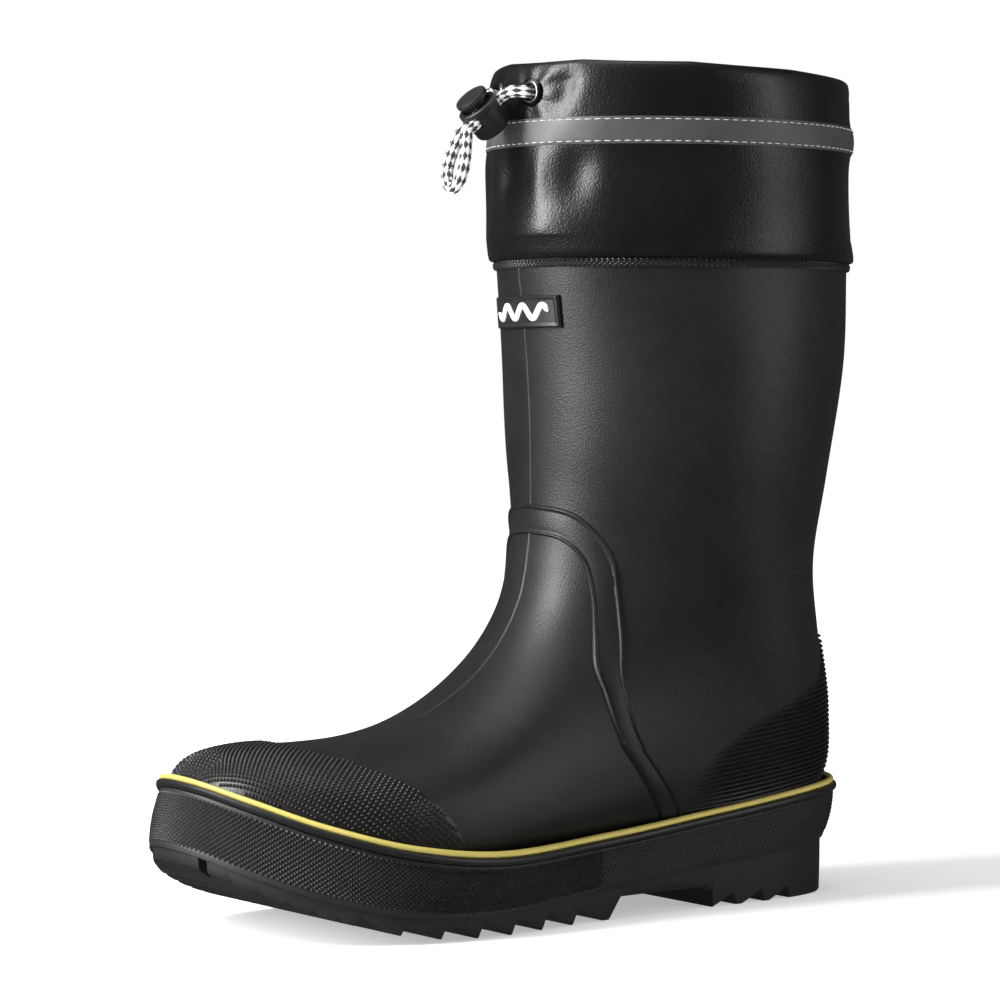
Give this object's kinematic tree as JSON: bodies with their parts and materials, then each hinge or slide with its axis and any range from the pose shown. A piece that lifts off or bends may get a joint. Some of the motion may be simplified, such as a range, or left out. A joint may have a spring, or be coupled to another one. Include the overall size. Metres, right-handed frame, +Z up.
{
  "type": "deck boot",
  "caption": "Insulated rubber deck boot with a drawcord collar, sliding cord lock, reinforced toe, instep and heel, and a lugged non-slip sole.",
  "frame": {"origin": "on the ground, under the middle of the boot's own box (the free cord and its lock are not counted)", "axes": "+Z up, toe towards -Y, heel towards +Y, the wearer's left (outer side of this left boot) towards +X"},
  "size_m": [0.1234, 0.2948, 0.3155],
  "materials": {
    "sole_rubber": "matte moulded rubber with knurled and ribbed walls",
    "upper_rubber": "satin rubber with a fine leather-like grain",
    "overlay_rubber": "matte rubber with raised dots and ribs",
    "piping_yellow": "satin yellow rubber",
    "collar_leather": "glossy black coated leather with a fine grain",
    "lining_fabric": "dark grey brushed fleece",
    "board": "pressed fibre board",
    "footbed_foam": "felt-covered foam",
    "reflective_tape": "grey reflective tape",
    "thread_white": "white sewing thread",
    "eyelet_metal": "black nickel",
    "drawcord": "black and white braided cord",
    "lock_plastic": "satin black plastic",
    "shank_steel": "spring steel",
    "emblem_white": "white rubber"
  },
  "bodies": {
    "boot": {"outsole": "sole_rubber", "sole_rand": "sole_rubber", "shank": "shank_steel", "welt_lip": "sole_rubber", "accent_piping": "piping_yellow", "upper_shell": "upper_rubber", "boot_lining": "lining_fabric", "toe_bumper": "overlay_rubber", "heel_guard": "overlay_rubber", "instep_band": "upper_rubber", "shaft_top_binding": "overlay_rubber", "insole_board": "board", "footbed": "footbed_foam", "badge_plate": "overlay_rubber", "badge_emblem": "emblem_white", "collar_panel": "collar_leather", "collar_lining": "lining_fabric", "reflective_tape": "reflective_tape", "tape_thread_upper": "thread_white", "tape_thread_lower": "thread_white", "eyelet_left": "eyelet_metal", "eyelet_washer_left": "eyelet_metal", "eyelet_right": "eyelet_metal", "eyelet_washer_right": "eyelet_metal", "drawcord_hem_run": "drawcord", "drawcord_loop": "drawcord"},
    "cord_lock": {"cord_lock_body": "lock_plastic", "cord_lock_spring": "shank_steel"},
    "lock_button": {"cord_lock_button": "lock_plastic"}
  },
  "joints": [
    {"name": "lock_slide", "type": "slide", "parent": "boot", "child": "cord_lock", "axis": [0, -0.7314, -0.682], "range_m": [0, 0.003]},
    {"name": "button_press", "type": "slide", "parent": "cord_lock", "child": "lock_button", "axis": [0, 0.682, -0.7314], "range_m": [0, 0.0018], "stiffness_N_per_m": 300, "springref_m": -0.002, "deforming": ["cord_lock_spring"]}
  ]
}
